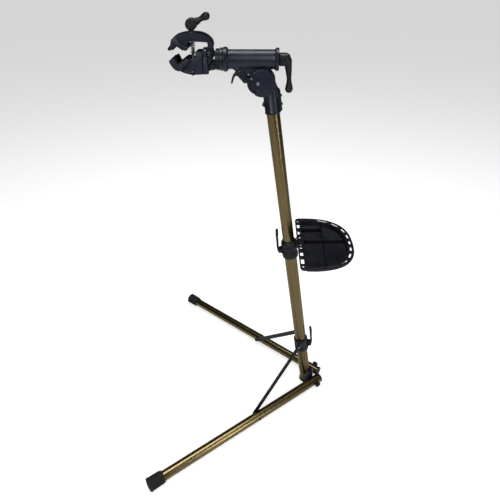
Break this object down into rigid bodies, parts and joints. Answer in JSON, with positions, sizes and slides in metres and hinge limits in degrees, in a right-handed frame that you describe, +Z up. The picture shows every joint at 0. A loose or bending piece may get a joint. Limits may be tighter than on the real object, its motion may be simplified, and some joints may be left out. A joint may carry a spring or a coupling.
{
  "type": "bicycle repair stand",
  "caption": "Folding bicycle repair stand with two splayed legs, a leaning telescopic mast, a tool tray and a rotating clamp head with padded V jaws and a cam lever.",
  "frame": {"origin": "on the floor, where the axis of the leaning mast meets it, at the centre of the mast's rubber sole", "axes": "+X away from the clamp, towards the tray; +Y towards the far leg; +Z up. The stand is symmetric about Y = 0 except for small details"},
  "size_m": [0.7718, 1.1354, 1.5409],
  "materials": {
    "tube_gold": "champagne anodised, satin",
    "dark_casting": "blue-black glass-filled nylon, satin",
    "black_plastic": "moulded, fine grain",
    "black_paint": "black paint",
    "steel": "zinc plated",
    "rubber": "matt",
    "nylon": "natural nylon"
  },
  "bodies": {
    "base": {"lower_mast_tube": "tube_gold", "base_bracket": "dark_casting", "mast_foot_cap": "rubber", "bracket_screws": "steel", "leg_hinge_bolts": "steel", "leg_hinge_knobs": "black_plastic", "height_collar": "black_plastic", "height_collar_bush": "nylon", "height_lever_pin": "steel", "height_brake_shoe": "nylon", "tray_bracket": "black_plastic"},
    "height_clamp_lever": {"height_lever": "black_plastic"},
    "upper_mast": {"upper_mast_tube": "tube_gold", "mast_glide_bush": "nylon", "head_socket": "dark_casting", "socket_screws": "steel", "head_pivot_bolt": "steel"},
    "head": {"barrel_housing": "dark_casting", "barrel_bushes": "nylon", "release_guide_pins": "steel", "release_spring": "steel"},
    "release": {"release_trigger": "black_plastic", "lock_pin": "steel"},
    "clamp_head": {"spindle": "steel", "index_ring": "black_plastic", "lower_jaw": "dark_casting", "lower_jaw_pads": "rubber", "jaw_hinge_pin": "steel", "rod_barrel_nut": "steel"},
    "upper_clamp_jaw": {"upper_jaw": "dark_casting", "upper_jaw_pads": "rubber"},
    "clamp_knob": {"clamp_rod": "steel", "rod_spring": "steel", "rod_washer": "steel"},
    "cam": {"cam_lever": "black_plastic", "cam_pin": "steel"},
    "crank": {"crank_handle": "black_plastic", "crank_screw": "steel"},
    "sliding_collar": {"leg_collar": "black_plastic", "leg_collar_bush": "nylon", "leg_lever_pin": "steel", "leg_brake_shoe": "nylon"},
    "leg_clamp_lever": {"leg_lever": "black_plastic"},
    "near_leg": {"near_leg_tube": "tube_gold", "near_foot_cap": "rubber", "near_end_cap": "black_plastic", "near_brace_bolt": "steel"},
    "far_leg": {"far_leg_tube": "tube_gold", "far_foot_cap": "rubber", "far_end_cap": "black_plastic", "far_brace_bolt": "steel"},
    "near_brace_bar": {"near_brace": "black_paint", "near_brace_screw": "steel"},
    "far_brace_bar": {"far_brace": "black_paint", "far_brace_screw": "steel"},
    "tray": {"tool_tray": "black_plastic"}
  },
  "joints": [
    {"name": "collar_slide", "type": "slide", "parent": "base", "child": "sliding_collar", "axis": [-0.1478, 0, 0.989], "range_m": [0, 0.42868]},
    {"name": "near_leg_fold", "type": "hinge", "parent": "base", "child": "near_leg", "pos_m": [0.0334, -0.0392, 0.027], "axis": [-0.6063, 0.7901, -0.0906], "range_deg": [0, 83.4]},
    {"name": "far_leg_fold", "type": "hinge", "parent": "base", "child": "far_leg", "pos_m": [0.0334, 0.0392, 0.027], "axis": [0.6063, 0.7901, 0.0906], "range_deg": [0, 83.4]},
    {"name": "near_brace_fold", "type": "hinge", "parent": "near_leg", "child": "near_brace_bar", "pos_m": [-0.22523, -0.23766, 0.027], "axis": [0.6063, -0.7901, 0.0906], "range_deg": [0, 145.7]},
    {"name": "far_brace_fold", "type": "hinge", "parent": "far_leg", "child": "far_brace_bar", "pos_m": [-0.22523, 0.23766, 0.027], "axis": [-0.6063, -0.7901, -0.0906], "range_deg": [0, 145.7]},
    {"name": "tray_slide", "type": "slide", "parent": "base", "child": "tray", "axis": [1, 0, 0], "range_m": [0, 0.0601]},
    {"name": "mast_slide", "type": "slide", "parent": "base", "child": "upper_mast", "axis": [0.1478, 0, -0.989], "range_m": [-0.04, 0.4]},
    {"name": "height_lever_turn", "type": "hinge", "parent": "base", "child": "height_clamp_lever", "pos_m": [-0.1477, 0, 0.7312], "axis": [0, -1, 0], "range_deg": [0, 140]},
    {"name": "leg_lever_turn", "type": "hinge", "parent": "sliding_collar", "child": "leg_clamp_lever", "pos_m": [0.00299, 0, 0.23705], "axis": [0, 1, 0], "range_deg": [0, 140]},
    {"name": "head_fold", "type": "hinge", "parent": "upper_mast", "child": "head", "pos_m": [-0.23627, 0, 1.34889], "axis": [0, 1, 0], "range_deg": [-98.5, 0]},
    {"name": "release_slide", "type": "slide", "parent": "head", "child": "release", "axis": [-0.809, 0, 0.5878], "range_m": [0, 0.01], "stiffness_N_per_m": 500, "springref_m": -0.004, "deforming": ["release_spring"]},
    {"name": "head_spin", "type": "hinge", "parent": "head", "child": "clamp_head", "pos_m": [-0.36, 0, 1.414], "axis": [1, 0, 0], "continuous": true},
    {"name": "jaw_open", "type": "hinge", "parent": "clamp_head", "child": "upper_clamp_jaw", "pos_m": [-0.379, 0, 1.427], "axis": [0, 1, 0], "range_deg": [-4, 15]},
    {"name": "knob_spin", "type": "hinge", "parent": "upper_clamp_jaw", "child": "clamp_knob", "pos_m": [-0.432, 0, 1.44], "axis": [0, 0, 1], "continuous": true},
    {"name": "cam_turn", "type": "hinge", "parent": "clamp_knob", "child": "cam", "pos_m": [-0.432, 0, 1.5085], "axis": [0, -1, 0], "range_deg": [-15, 100]},
    {"name": "crank_spin", "type": "hinge", "parent": "clamp_head", "child": "crank", "pos_m": [-0.155, 0, 1.414], "axis": [1, 0, 0], "continuous": true}
  ],
  "couplings": [
    {"joint": "near_leg_fold", "follows": "collar_slide", "rad_per_m": 3.3901},
    {"joint": "far_leg_fold", "follows": "collar_slide", "rad_per_m": 3.3901},
    {"joint": "near_brace_fold", "follows": "collar_slide", "rad_per_m": 5.921},
    {"joint": "far_brace_fold", "follows": "collar_slide", "rad_per_m": 5.921},
    {"joint": "tray_slide", "follows": "collar_slide", "ratio": 0.13996}
  ]
}
